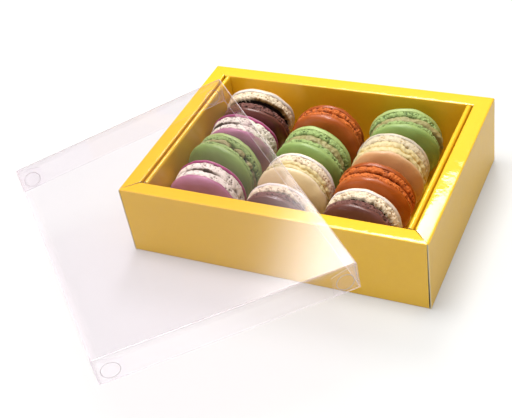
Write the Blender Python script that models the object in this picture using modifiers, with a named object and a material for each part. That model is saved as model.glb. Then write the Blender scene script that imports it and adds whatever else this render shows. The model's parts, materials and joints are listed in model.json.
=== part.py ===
"""Macaron box: a glossy gold card tray with a hollow frame rim, a card liner,
filled macarons standing on edge in columns, and a clear folded lid that lies
across the tray's front left rims.

Units are metres, +Z is up. The origin is the middle of the tray's underside.
+X runs along the tray's long side, and the front long side faces -Y.
"""

from math import cos, pi, radians, sin, sqrt

import bmesh
import bpy
from mathutils import Matrix, Vector

MM = 0.001

# Tray, folded from one blank of card
TRAY_LENGTH = 184.0 * MM
TRAY_DEPTH = 133.0 * MM
TRAY_HEIGHT = 46.5 * MM
RIM_WIDTH = 10.0 * MM
CARD = 0.5 * MM
FOLD_BEVEL = 0.5 * MM
MITRE_SLIT = 0.4 * MM
END_WALL_SHORT = 1.2 * MM

# Liner, a strip of card bent up at both ends inside the tray
LINER_CARD = 0.4 * MM
LINER_GAP = 1.2 * MM
LINER_FOLD_WIDTH = 3.0 * MM
LINER_TOP_DROP = 0.3 * MM
LINER_OUTER_LEG = 14.0 * MM
LINER_END_GAP = 0.8 * MM
FOLD_STEPS = 6

# Clear lid, a tray of thin sheet turned upside down
LID_LENGTH = 185.0 * MM
LID_DEPTH = 134.0 * MM
LID_FLAP = 16.1 * MM
LID_SHEET = 0.3 * MM
LID_TWIST = 4.7 * MM
LID_CENTRE = (-44.9 * MM, -88.0 * MM, 61.8 * MM)
LID_TURN = (2.0, -1.15, -43.4)
LID_CELLS = 8
TAB_LENGTH = 14.0 * MM
TAB_TAPER = 4.0 * MM
TAB_EMBED = 0.1 * MM

# Space between pieces that touch
TOUCH_GAP = 0.3 * MM

# Macaron shell, measured from its flat inner face
SHELL_LIP_HEIGHT = 4.0 * MM
SHELL_DOME = 5.3 * MM
DOME_POWER = 2.6
DOME_RINGS = 3
FOOT_INSET = 0.5 * MM
FOOT_NECK_INSET = 0.9 * MM
FOOT_EDGE_INSET = 1.4 * MM
FOOT_RELIEF = 0.8 * MM
FOOT_GRAIN = 5.0 * MM
TURNED_SIDES = 24
MERGE = 0.00001

# Colours as the photograph shows them, linear
GOLD = (0.83, 0.55, 0.10)
CLEAR = (0.95, 0.94, 0.95)
COLOURS = {
    "cream": (0.87, 0.76, 0.60),
    "cocoa": (0.13, 0.04, 0.035),
    "pink": (0.50, 0.20, 0.32),
    "green": (0.25, 0.45, 0.12),
    "orange": (0.56, 0.14, 0.02),
    "vanilla": (0.82, 0.66, 0.33),
    "pistachio": (0.40, 0.38, 0.20),
    "chocolate": (0.08, 0.03, 0.025),
}

# Each column from the back to the front. A macaron is
# (back shell, filling, front shell, diameter, lip to lip, lean, turn, gap behind):
# lean is in degrees, positive with the top towards the back, turn is about the
# vertical, and the gap is to the piece or wall behind, at mid height.
COLUMNS = {
    "left": (-53.5 * MM, (
        ("cream", "chocolate", "cocoa", 44.5, 15.5, -14, 4, 3.5),
        ("pink", "cream", "pink", 43.5, 11.5, -9, 4, 1.2),
        ("green", "pistachio", "green", 45.0, 12.0, 3, -7, 2.6),
        ("pink", "cream", "pink", 44.0, 13.0, -2, 3, 2.0),
    )),
    "middle": (-3.6 * MM, (
        ("orange", "orange", "orange", 44.5, 9.5, 0, 3, 12.8),
        ("green", "pistachio", "green", 43.5, 15.5, -3, -3, 1.4),
        ("cream", "vanilla", "cream", 43.5, 14.0, 2, 0, 1.2),
        ("cream", "chocolate", "cocoa", 43.5, 11.0, 2, 2, 3.6),
    )),
    "right": (44.0 * MM, (
        ("green", "pistachio", "green", 43.5, 14.5, -5, 11, 4.2),
        ("cream", "vanilla", "cream", 44.0, 17.0, 0, 5, 1.8),
        ("orange", "orange", "orange", 45.0, 11.5, -6, 2, 1.2),
        ("cream", "chocolate", "cocoa", 44.0, 13.5, 1, 0, 1.4),
    )),
}


def clear_scene():
    for item in list(bpy.data.objects):
        bpy.data.objects.remove(item, do_unlink=True)


def new_collection(name):
    group = bpy.data.collections.new(name)
    bpy.context.scene.collection.children.link(group)
    return group


def principled(name, colour, roughness, metallic=0.0, transmission=0.0):
    """A Principled material of one colour."""
    material = bpy.data.materials.new(name)
    material.use_nodes = True
    shader = material.node_tree.nodes["Principled BSDF"]
    shader.inputs["Base Color"].default_value = (*colour, 1.0)
    shader.inputs["Roughness"].default_value = roughness
    shader.inputs["Metallic"].default_value = metallic
    shader.inputs["Transmission Weight"].default_value = transmission
    return material


def mesh_object(name, build, group, material=None):
    """An object whose mesh is what build(bm) puts in an empty bmesh."""
    bm = bmesh.new()
    build(bm)
    mesh = bpy.data.meshes.new(name)
    bm.to_mesh(mesh)
    bm.free()
    item = bpy.data.objects.new(name, mesh)
    if material:
        mesh.materials.append(material)
    group.objects.link(item)
    return item


def block(name, low, high, group, material=None):
    """A box from its lowest to its highest corner."""
    low, high = Vector(low), Vector(high)

    def build(bm):
        size = Matrix.Diagonal((*(high - low), 1.0))
        place = Matrix.Translation((low + high) / 2)
        bmesh.ops.create_cube(bm, size=1.0, matrix=place @ size)

    return mesh_object(name, build, group, material)


def combine(item, other, operation):
    """Cut other out of item, or join it to item, with a live Boolean."""
    other.hide_render = True
    other.display_type = "WIRE"
    step = item.modifiers.new(other.name, "BOOLEAN")
    step.operation = operation
    step.solver = "EXACT"
    step.object = other


def polyline(bm, points):
    """Edges through the points, in order; returns the edges."""
    verts = [bm.verts.new(point) for point in points]
    return [bm.edges.new(pair) for pair in zip(verts, verts[1:])]


def make_tray(parts, tools, gold):
    """The tray: floor, outer walls, mitred rim and the two long inner walls."""
    half_x, half_y = TRAY_LENGTH / 2, TRAY_DEPTH / 2
    well_x, well_y = half_x - RIM_WIDTH, half_y - RIM_WIDTH
    under_rim = TRAY_HEIGHT - CARD
    above = TRAY_HEIGHT + CARD

    tray = block("tray", (-half_x, -half_y, 0), (half_x, half_y, TRAY_HEIGHT), parts, gold)
    folds = tray.modifiers.new("folds", "BEVEL")
    folds.width = FOLD_BEVEL
    folds.segments = 1

    hollow = block(
        "hollow", (CARD - half_x, CARD - half_y, CARD), (half_x - CARD, half_y - CARD, under_rim), tools)
    combine(tray, hollow, "DIFFERENCE")
    mouth = block("mouth", (-well_x, -well_y, under_rim - CARD), (well_x, well_y, above), tools)
    combine(tray, mouth, "DIFFERENCE")

    wall_x = well_x - END_WALL_SHORT
    for side, name in ((-1, "front"), (1, "back")):
        faces = sorted((side * well_y, side * (well_y + CARD)))
        wall = block(
            name + "_inner_wall", (-wall_x, faces[0], CARD / 2), (wall_x, faces[1], TRAY_HEIGHT - CARD / 2), tools)
        combine(tray, wall, "UNION")

    slit_length = sqrt(2) * (RIM_WIDTH + 2 * CARD)
    for sign_x in (-1, 1):
        for sign_y in (-1, 1):
            slit = block(
                "mitre", (-slit_length / 2, -MITRE_SLIT / 2, under_rim - CARD / 2),
                (slit_length / 2, MITRE_SLIT / 2, above), tools)
            slit.location = (sign_x * (half_x - RIM_WIDTH / 2), sign_y * (half_y - RIM_WIDTH / 2), 0)
            slit.rotation_euler.z = sign_x * sign_y * pi / 4
            combine(tray, slit, "DIFFERENCE")
    return tray


def make_liner(parts, gold):
    """A strip along X: floor, upright ends, a round fold and a short outer leg."""
    outer_x = TRAY_LENGTH / 2 - RIM_WIDTH - LINER_GAP
    fold_radius = (LINER_FOLD_WIDTH - LINER_CARD) / 2
    leg_x = outer_x - LINER_CARD / 2
    middle_x = leg_x - fold_radius
    floor_z = CARD + TOUCH_GAP + LINER_CARD / 2
    fold_z = TRAY_HEIGHT - LINER_TOP_DROP - LINER_CARD / 2 - fold_radius
    half_y = TRAY_DEPTH / 2 - RIM_WIDTH - LINER_END_GAP

    def build(bm):
        path = [(0, floor_z), (middle_x - fold_radius, floor_z)]
        for step in range(FOLD_STEPS + 1):
            turn = pi - pi * step / FOLD_STEPS
            path.append((middle_x + fold_radius * cos(turn), fold_z + fold_radius * sin(turn)))
        path.append((leg_x, fold_z - LINER_OUTER_LEG))
        edges = polyline(bm, [(x, -half_y, z) for x, z in path])
        made = bmesh.ops.extrude_edge_only(bm, edges=edges)
        moved = [part for part in made["geom"] if isinstance(part, bmesh.types.BMVert)]
        bmesh.ops.translate(bm, verts=moved, vec=(0, 2 * half_y, 0))

    liner = mesh_object("liner", build, parts, gold)
    mirror = liner.modifiers.new("other end", "MIRROR")
    mirror.use_clip = True
    mirror.merge_threshold = MERGE
    sheet = liner.modifiers.new("card", "SOLIDIFY")
    sheet.thickness = LINER_CARD
    sheet.offset = 0
    return liner


def make_lid(parts, tools, film):
    """The lid: a slightly twisted panel with a flap on each side and corner tabs."""
    half_x, half_y = LID_LENGTH / 2 - LID_SHEET / 2, LID_DEPTH / 2 - LID_SHEET / 2

    def twist(bm):
        for vert in bm.verts:
            vert.co.z -= LID_TWIST * (vert.co.x / half_x) * (vert.co.y / half_y)

    def build(bm):
        size = Matrix.Diagonal((half_x, half_y, 1, 1))
        bmesh.ops.create_grid(bm, x_segments=LID_CELLS, y_segments=LID_CELLS, size=1, matrix=size)
        border = [edge for edge in bm.edges if edge.is_boundary]
        made = bmesh.ops.extrude_edge_only(bm, edges=border)
        moved = [part for part in made["geom"] if isinstance(part, bmesh.types.BMVert)]
        bmesh.ops.translate(bm, verts=moved, vec=(0, 0, LID_SHEET / 2 - LID_FLAP))
        bmesh.ops.recalc_face_normals(bm, faces=bm.faces)
        twist(bm)

    lid = mesh_object("lid", build, parts, film)
    sheet = lid.modifiers.new("sheet", "SOLIDIFY")
    sheet.thickness = LID_SHEET
    sheet.offset = 0
    sheet.use_even_offset = True

    def build_tab(bm, end, side):
        """A tapering plate on the inside of a short flap, beside a corner."""
        inner = half_x - LID_SHEET / 2
        corner = half_y - TAB_EMBED
        low = LID_SHEET / 2 - LID_FLAP
        outline = (
            (corner, -LID_SHEET), (corner - TAB_LENGTH, -LID_SHEET - TAB_TAPER),
            (corner - TAB_LENGTH, low), (corner, low))
        edges = polyline(bm, [(end * (inner + TAB_EMBED), side * y, z) for y, z in outline])
        bmesh.ops.contextual_create(bm, geom=edges)
        made = bmesh.ops.extrude_face_region(bm, geom=list(bm.faces))
        moved = [part for part in made["geom"] if isinstance(part, bmesh.types.BMVert)]
        bmesh.ops.translate(bm, verts=moved, vec=(-end * (LID_SHEET + TAB_EMBED), 0, 0))
        bmesh.ops.recalc_face_normals(bm, faces=bm.faces)
        twist(bm)

    place = Matrix.Translation(LID_CENTRE)
    for axis, angle in zip("ZYX", reversed(LID_TURN)):
        place = place @ Matrix.Rotation(radians(angle), 4, axis)
    for end in (-1, 1):
        for side in (-1, 1):
            tab = mesh_object("tab", lambda bm: build_tab(bm, end, side), tools)
            tab.matrix_world = place
            combine(lid, tab, "UNION")
    lid.matrix_world = place
    return lid


def turned(name, profile, group, material):
    """A solid turned about its own Z axis from a profile that runs down its outside."""
    item = mesh_object(name, lambda bm: polyline(bm, [(r, 0, z) for r, z in profile]), group, material)
    screw = item.modifiers.new("turn", "SCREW")
    screw.steps = screw.render_steps = TURNED_SIDES
    screw.use_merge_vertices = True
    screw.merge_threshold = MERGE
    return item


def shell_profile(radius):
    """A smooth dome down to its lip, then the foot's neck, bulge and inner edge."""
    points = []
    for ring in range(DOME_RINGS + 2):
        part = sin(ring / (DOME_RINGS + 1) * pi / 2)
        rise = sqrt(max(0.0, 1 - part ** DOME_POWER))
        points.append((radius * part, SHELL_LIP_HEIGHT + SHELL_DOME * rise))
    points.append((radius - FOOT_NECK_INSET, SHELL_LIP_HEIGHT * 0.72))
    points.append((radius - FOOT_INSET, SHELL_LIP_HEIGHT * 0.38))
    points.append((radius - FOOT_EDGE_INSET, 0))
    points.append((0, 0))
    return points


def make_shell(name, radius, group, material, grain):
    """A macaron shell; the ruffle of its foot is relief on the rings below its lip."""
    shell = turned(name, shell_profile(radius), group, material)
    foot = shell.vertex_groups.new(name="foot")
    first = DOME_RINGS + 2
    foot.add([first, first + 1], 1.0, "REPLACE")
    ruffle = shell.modifiers.new("ruffle", "DISPLACE")
    ruffle.texture = grain
    ruffle.texture_coords = "GLOBAL"
    ruffle.vertex_group = "foot"
    ruffle.strength = FOOT_RELIEF
    ruffle.mid_level = 0.5
    return shell


def make_filling(name, radius, thickness, group, material):
    """A disc of filling with a bulging side."""
    bulge = min(thickness / 4, 0.8 * MM)
    half = thickness / 2
    profile = [(0, half), (radius - bulge, half), (radius, 0), (radius - bulge, -half), (0, -half)]
    return turned(name, profile, group, material)


def make_macaron(name, pick, x, y, group, materials, grain):
    """Two shells and their filling, on an empty at the macaron's middle."""
    back, filling, front, diameter, lips, lean, turn, _ = pick
    radius, half_lips = diameter * MM / 2, lips * MM / 2
    slab = half_lips - SHELL_LIP_HEIGHT
    floor = CARD + TOUCH_GAP + LINER_CARD + TOUCH_GAP
    low = radius * cos(radians(lean)) + half_lips * abs(sin(radians(lean)))

    middle = bpy.data.objects.new(name, None)
    group.objects.link(middle)
    middle.location = (x, y, floor + low)
    middle.rotation_euler = (radians(90 - lean), 0, radians(turn))

    for end, colour, angle in (("front", front, 0.0), ("back", back, pi)):
        shell = make_shell(f"{name}_{end}_shell", radius, group, materials[colour], grain)
        shell.parent = middle
        shell.location.z = slab if end == "front" else -slab
        shell.rotation_euler.x = angle
    soft = make_filling(
        f"{name}_filling", radius - FOOT_EDGE_INSET, 2 * (slab - TOUCH_GAP), group, materials[filling])
    soft.parent = middle


def make_macarons(parts, materials, grain):
    """The columns, each macaron placed against what is behind it."""
    for column, (x, picks) in COLUMNS.items():
        y = TRAY_DEPTH / 2 - RIM_WIDTH
        for row, pick in enumerate(picks, start=1):
            half = pick[4] * MM / 2 + SHELL_DOME
            y -= pick[7] * MM + half
            make_macaron(f"{column}_{row}", pick, x, y, parts, materials, grain)
            y -= half


def main():
    clear_scene()
    parts = new_collection("macaron_box")
    tools = new_collection("cutters")
    gold = principled("gold_card", GOLD, 0.25)
    film = principled("clear_film", CLEAR, 0.03, transmission=0.9)
    materials = {name: principled(name, colour, 0.6) for name, colour in COLOURS.items()}
    grain = bpy.data.textures.new("foot_grain", "CLOUDS")
    grain.noise_scale = FOOT_GRAIN

    make_tray(parts, tools, gold)
    make_liner(parts, gold)
    make_macarons(parts, materials, grain)
    make_lid(parts, tools, film)


main()
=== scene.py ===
"""The looks of a macaron box: a gold card tray with a frame rim and a card liner, twelve
filled macarons, and a clear folded lid that lies across the front left rims.

Metres, +Z up, +X along the tray's long side, and the front long side faces -Y.
"""

import json
from math import cos, pi, radians, sin, sqrt, tau

import bpy
import numpy as np
from mathutils import Matrix, Vector


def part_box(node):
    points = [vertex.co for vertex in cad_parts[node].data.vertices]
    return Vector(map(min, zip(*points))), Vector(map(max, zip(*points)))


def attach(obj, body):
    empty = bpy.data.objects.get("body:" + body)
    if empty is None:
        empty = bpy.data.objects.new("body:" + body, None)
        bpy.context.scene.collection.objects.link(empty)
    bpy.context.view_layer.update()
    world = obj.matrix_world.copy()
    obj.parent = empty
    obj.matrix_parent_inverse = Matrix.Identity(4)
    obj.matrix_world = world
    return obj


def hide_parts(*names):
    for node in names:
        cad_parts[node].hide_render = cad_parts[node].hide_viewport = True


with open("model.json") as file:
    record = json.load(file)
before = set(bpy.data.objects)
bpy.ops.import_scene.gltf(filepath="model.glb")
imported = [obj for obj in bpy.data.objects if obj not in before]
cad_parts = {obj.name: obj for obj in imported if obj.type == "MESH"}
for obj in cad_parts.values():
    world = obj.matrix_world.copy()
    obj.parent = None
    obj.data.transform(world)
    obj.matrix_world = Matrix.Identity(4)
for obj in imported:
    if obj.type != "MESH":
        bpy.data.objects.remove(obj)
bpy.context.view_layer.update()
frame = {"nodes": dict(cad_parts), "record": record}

MM = 0.001

# The tray, read from the frame, with its card and its folds
TRAY_HALF = np.array(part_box("tray")[1][:2])
TRAY_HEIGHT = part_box("tray")[1][2]
RIM_WIDTH = 10.0 * MM
RIM_LEG = 12.0 * MM
CARD = 0.5 * MM
FOLD = 0.8 * MM

# How far in mm the tray stands open at each corner, by its side along X and along Y: the mitre of
# the rim, the slit beside the walls at their foot, and the long inner wall, short of the end
CORNERS = {
    (-1, -1): (0.16, 0.3, 1.0),
    (1, -1): (0.30, 0.8, 0.1),
    (1, 1): (0.06, 0.2, 0.1),
    (-1, 1): (0.06, 0.2, 0.1),
}
SLIT_TOP = 0.25 * MM

# How far a rim's inner or outer edge hangs below the top, the left and right rims' sag at the front
# and their crown, with the share of it that lies below the edges, and how far the walls bow
FRONT_RIM_DROP = 0.6 * MM
BACK_RIM_DROP = 0.10 * MM
SIDE_RIM_DROP = {-1: 0.15 * MM, 1: 0.08 * MM}
FRONT_END_DROP = {-1: 0.0, 1: 0.34 * MM}
SIDE_RIM_CROWN = 0.12 * MM
CROWN_BELOW = 0.28
WALL_BOW = 0.3 * MM

# The liner strip
LINER_CARD = 0.4 * MM
LINER_GAP = 1.2 * MM
LINER_FOLD_WIDTH = 3.0 * MM
LINER_ROLL = 0.49
LINER_TOP_DROP = 0.3 * MM
LINER_OUTER_LEG = 14.0 * MM
LINER_END_GAP = 0.3 * MM
LINER_FLOOR = 1.2 * MM

# The lid, as it is folded and as it lies: its middle, and its turns about X, Y and Z in degrees
LID_LENGTH = 185.0 * MM
LID_DEPTH = 134.0 * MM
LID_FLAP = 16.1 * MM
LID_SHEET = 0.3 * MM
LID_FOLD = 0.8 * MM
LID_TWIST = 4.7 * MM
LID_CENTRE = (-44.9 * MM, -88.0 * MM, 61.8 * MM)
LID_TURN = (2.0, -1.15, -43.4)
TAB_LENGTH = 14.0 * MM
TAB_TAPER = 4.0 * MM
TAB_OVERLAP = 2.0 * MM
TAB_GAP = 0.05 * MM
GLUE_DOT = 9.4 * MM
GLUE_RIM = (0.22 * MM, 0.12 * MM)

# How white a crease is against a plain fold: the one over the tray, whiter as painted highlight, and a glue
# dot's rim
TRAY_FOLD_WHITE_AND_HIGHLIGHT = 3.0
GLUE_CREASE = 1.6

# How finely the folded sheets are divided
FOLD_STEPS = 6
PANEL_STEP = 4.0 * MM
RIM_STEP = 1.2 * MM
LONG_STEPS = 46
END_STEPS = 34
LINER_STEPS = 40
TAB_STEPS = 8
GLUE_AROUND = 48
GLUE_SECTION = 8

# A macaron shell, from its flat inner face: the dome, and the lip with its rings in degrees and how
# much each belongs to the foot. The lip's own colour fades upwards and is weaker on front shells
LIP_HEIGHT = 4.0 * MM
DOME = 5.3 * MM
DOME_POWER = 2.6
LIP_BEAD = 0.6 * MM
LIP_RINGS = (-14, -30, -46, -62, -80, -100)
LIP_TO_FOOT = (0, 0, 0, 0.1, 0.3, 0.8)
LIP_FADE = 0.6 * MM
LIP_COLOUR = {"back": 1, "front": 0.35}

# Its foot below the lip: how far it stands in, how much it narrows, how much further in a buried
# one stands, and the rings on the inner face as shares of the radius
FOOT_INSET = 0.35 * MM
FOOT_TAPER = 0.9 * MM
FOOT_BURIED = 1.7 * MM
FACE_RINGS = (0.86, 0.5)

# The groove under the lip: its depth, its share of the foot, how far and over how much of its
# length it is filled up again, and how dark the rest is painted, as shade
GROOVE_DEPTH = 0.8 * MM
GROOVE_SHARE = 0.09
GROOVE_FILLED = 0.75 * MM
GROOVE_MEAN = 0.45
GROOVE_PAINTED_SHADE = 0.7

# A slit between two feet: from which share of the foot down and over what share it is painted
# dark as shade, and how steeply it does so along its bell
SLIT_START = 0.8
SLIT_SHARE = 0.12
SLIT_PAINTED_SHADE = 3

# How strong the crags are at the foot's top, over what share of it they grow, and on the face rings
CRAGS_START = 0.25
CRAGS_SHARE = 0.12
FACE_CRAGS = (0.3, 0)

# The foot's burst bubbles, large and small: spacing, how far in the seeds lie, size, height, and
# the level that a bubble is measured from. Sizes vary between two shares
BUBBLES = (
    (1.5 * MM, 0.6 * MM, 1.35 * MM, 0.45 * MM, 0.6),
    (0.85 * MM, 0.5 * MM, 0.7 * MM, 0.22 * MM, 0.5),
)
BUBBLE_SIZES = (0.6, 1.2)

# The foot's pits: spacing, how far in the seeds lie, clear height below the foot's top, least and
# greatest size, depth, how sharply they fall, how flat they are, and the depth that is painted
# fully dark as shade
PIT_SPACING = 2.6 * MM
PIT_INSET = 0.4 * MM
PIT_CLEAR = 0.2 * MM
PIT_SIZES = (0.45 * MM, 0.95 * MM)
PIT_DEPTH = 0.95 * MM
PIT_POWER = 0.7
PIT_FLATTER = (1, 1, 1.3)
PIT_SHADE_DEPTH = 0.85 * MM

# Waves on a shell, each set with its length and its height: the outline's lobes, the line of the
# lip, the dome's swell, how full the groove is, the foot's ragged edge, and the foot's surface
LOBES = (26 * MM, 0.16 * MM)
LIP_LINE = (7 * MM, 0.16 * MM)
LIP_LINE_FADE = 1.5 * MM
DOME_SWELL = (13 * MM, 0.16 * MM)
GROOVE_FULL = (5 * MM, 0.6)
RAGGED_EDGE = ((4 * MM, 0.22 * MM), (1.7 * MM, 0.12 * MM))
FOOT_SWELL = (6 * MM, 0.16 * MM)
FOOT_CRUMB = (1.0 * MM, 0.07 * MM)

# A filling: how far it laps under each shell, how far its side stands in, how deep and how sharp
# its ridges are by their number, and beyond which push inwards, in mm, a spot is a hole painted
# dark as shade
FILLING_LAP = 0.3 * MM
FILLING_INSET = 1.1 * MM
RIDGE_DEPTH = {1: 1.1 * MM, 2: 1.2 * MM}
RIDGE_POWER = {1: 0.6, 2: 0.8}
HOLE_PUSH = -2

# Waves on a filling: how its ridges wander, as shares of its height, its side, and its rings
RIDGE_WANDER = ((9 * MM, 0.05), (3 * MM, 0.025))
FILLING_BULGE = (11 * MM, 0.28 * MM)
FILLING_DENTS = (4 * MM, 0.16 * MM)
FILLING_CRUMB = (1.3 * MM, 0.07 * MM)
FILLING_RINGS = (5 * MM, 0.1 * MM)

# How finely shells and fillings are divided, and how many waves make up a set
AROUND = 440
DOME_ROWS = 16
FOOT_ROWS = 30
FILLING_ROWS = 26
FILLING_AROUND = 300
WAVES = 28
CRUMB_WAVES = 40

# The camera, solved from the tray's corners in the photograph
CAMERA_AZIMUTH = 31.08
CAMERA_ELEVATION = 39.23
CAMERA_ROLL = -10.84
CAMERA_DISTANCE = 633.0 * MM
CAMERA_TARGET = (-35.17 * MM, -13.77 * MM, 0.0)
CAMERA_LENS = 72.33
SENSOR = 36.0

# The light: the tent's brightness at its side, and how much is added at its top and its foot
TENT_SIDE = 0.10
TENT_TOP = 2.4
TENT_POWER = 5.0
TENT_FOOT = 0.77
TENT_FOOT_POWER = 14.0
TENT_WHITE = (1.0, 0.985, 0.97, 1.0)

# The softboxes: compass angle and height angle in degrees, distance, width and height in metres,
# and power in watts; and how far in from its edges, as shares of its sides, each one fades
SOFTBOXES = {
    "back_softbox": (-15.5, 51.5, 1.6, 0.70, 0.56, 19),
    "top_softbox": (-90, 83, 1.2, 0.7, 0.7, 21),
    "left_softbox": (-146, 12, 0.5, 0.3, 0.3, 0.64),
}
SOFTBOX_FADE = {"X": 0.42, "Y": 0.10}

# The paper under the box: how far it reaches, how far it lies below the box, and its own glow
FLOOR_REACH = 3.0
FLOOR_DROP = 0.02 * MM
FLOOR_GLOW = 0.19


def colour(code):
    """An sRGB hex code as linear red, green, blue and a full alpha."""
    parts = np.array([int(code[i:i + 2], 16) for i in (1, 3, 5)]) / 255
    linear = np.where(parts <= 0.04045, parts / 12.92, ((parts + 0.055) / 1.055) ** 2.4)
    return (*linear.tolist(), 1.0)


def add(tree, kind, inputs=None, **options):
    """A node with its options set, and each input set to a value or linked to a socket."""
    node = tree.nodes.new(kind)
    for name, value in options.items():
        setattr(node, name, value)
    for name, value in (inputs or {}).items():
        if isinstance(value, bpy.types.NodeSocket):
            tree.links.new(value, node.inputs[name])
        else:
            node.inputs[name].default_value = value
    return node


def new_material(name):
    """An empty node material; returns it, its tree and its output node."""
    material = bpy.data.materials.new(name)
    material.use_nodes = True
    tree = material.node_tree
    tree.nodes.clear()
    return material, tree, tree.nodes.new("ShaderNodeOutputMaterial")


# Places of the two colours and the result on a Mix node that is set to colours
MIX_FROM, MIX_TO, MIX_RESULT = 6, 7, 2


def foil_card():
    """Solid board with a gold foil under a clear gloss laminate. The embossed foil scatters most of the
    light, so a wall shades evenly, and the laminate adds a thin sharp shine, faintly uneven where the
    board's fibres and the glue show through."""
    material, tree, out = new_material("gold_foil_laminated_board")
    place = add(tree, "ShaderNodeTexCoord").outputs["Object"]
    sag = add(tree, "ShaderNodeTexNoise", {"Vector": place, "Scale": 1 / (14 * MM), "Detail": 1.0})
    glue = add(tree, "ShaderNodeTexNoise", {"Vector": place, "Scale": 1 / (2.6 * MM), "Detail": 2.0})
    fibre = add(tree, "ShaderNodeTexNoise", {"Vector": place, "Scale": 1 / (0.7 * MM), "Detail": 3.0})
    low = add(tree, "ShaderNodeBump", {"Height": sag.outputs["Fac"], "Distance": 0.22 * MM})
    middle = add(tree, "ShaderNodeBump", {
        "Height": glue.outputs["Fac"], "Distance": 0.045 * MM, "Normal": low.outputs["Normal"]})
    fine = add(tree, "ShaderNodeBump", {
        "Height": fibre.outputs["Fac"], "Distance": 0.006 * MM, "Normal": middle.outputs["Normal"]})
    tone = add(tree, "ShaderNodeMix", {
        0: glue.outputs["Fac"], MIX_FROM: colour("#E6B421"), MIX_TO: colour("#EABB27")}, data_type="RGBA")
    shader = add(tree, "ShaderNodeBsdfPrincipled", {
        "Base Color": tone.outputs[MIX_RESULT], "Metallic": 0.04, "Roughness": 0.5,
        "Specular IOR Level": 0.1,
        "Coat Weight": 0.4, "Coat Roughness": 0.04, "Coat IOR": 2.1,
        "Normal": fine.outputs["Normal"], "Coat Normal": middle.outputs["Normal"]})
    tree.links.new(shader.outputs[0], out.inputs["Surface"])
    return material


def board_back():
    """The uncoated side and the cut edges of solid board: matt cream fibre with a faint fleck."""
    material, tree, out = new_material("uncoated_board")
    place = add(tree, "ShaderNodeTexCoord").outputs["Object"]
    fibre = add(tree, "ShaderNodeTexNoise", {"Vector": place, "Scale": 1 / (0.5 * MM), "Detail": 4.0})
    tone = add(tree, "ShaderNodeMix", {
        0: fibre.outputs["Fac"], MIX_FROM: colour("#CDBD96"), MIX_TO: colour("#E6DABB")}, data_type="RGBA")
    bump = add(tree, "ShaderNodeBump", {"Height": fibre.outputs["Fac"], "Distance": 0.03 * MM})
    shader = add(tree, "ShaderNodeBsdfPrincipled", {
        "Base Color": tone.outputs[MIX_RESULT], "Roughness": 0.9, "Normal": bump.outputs["Normal"]})
    tree.links.new(shader.outputs[0], out.inputs["Surface"])
    return material


def clear_sheet():
    """Clear PET sheet, calendered: nearly everything passes, and each face mirrors about 3 % head on
    and far more at a glancing angle, so the lid shows by its edges and by the softboxes in it. The
    panel has a coating against mist that is very faintly pink. Where it was creased, the sheet is
    stressed and turns whitish; along the fold over the tray that white is made stronger as a
    painted highlight."""
    material, tree, out = new_material("clear_pet_sheet")
    glancing = add(tree, "ShaderNodeLayerWeight", {"Blend": 0.5}).outputs["Facing"]
    steep = add(tree, "ShaderNodeMath", {0: glancing, 1: 5.0}, operation="POWER")
    mirrored = add(tree, "ShaderNodeMath", {
        0: steep.outputs[0], 1: 0.38, 2: 0.032}, operation="MULTIPLY_ADD")
    coated = add(tree, "ShaderNodeAttribute", attribute_name="coated").outputs["Fac"]
    tint = add(tree, "ShaderNodeMix", {
        0: coated, MIX_FROM: colour("#FFFEFF"), MIX_TO: colour("#FCFAFC")}, data_type="RGBA")
    clear = add(tree, "ShaderNodeBsdfTransparent", {"Color": tint.outputs[MIX_RESULT]})
    gloss = add(tree, "ShaderNodeBsdfAnisotropic", {"Color": colour("#FFFFFF"), "Roughness": 0.16})
    film = add(tree, "ShaderNodeMixShader", {
        0: mirrored.outputs[0], 1: clear.outputs[0], 2: gloss.outputs[0]})
    # Whitish stress at the creases, strongest on the fold over the tray, where it is a painted highlight
    crease = add(tree, "ShaderNodeAttribute", attribute_name="crease").outputs["Fac"]
    white = add(tree, "ShaderNodeMath", {0: crease, 1: 0.2}, operation="MULTIPLY")
    stress_white_and_highlight = add(tree, "ShaderNodeBsdfPrincipled", {"Base Color": colour("#F4E8EC"), "Roughness": 0.3})
    whole = add(tree, "ShaderNodeMixShader", {
        0: white.outputs[0], 1: film.outputs[0], 2: stress_white_and_highlight.outputs[0]})
    tree.links.new(whole.outputs[0], out.inputs["Surface"])
    return material


def cut_sheet():
    """The cut edge of PET sheet, sheared and so slightly frosted: a thin pale line."""
    material, tree, out = new_material("sheared_pet_edge")
    clear = add(tree, "ShaderNodeBsdfTransparent", {"Color": colour("#F6F2F6")})
    frost = add(tree, "ShaderNodeBsdfPrincipled", {"Base Color": colour("#F1E6EC"), "Roughness": 0.25})
    whole = add(tree, "ShaderNodeMixShader", {0: 0.3, 1: clear.outputs[0], 2: frost.outputs[0]})
    tree.links.new(whole.outputs[0], out.inputs["Surface"])
    return material


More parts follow.
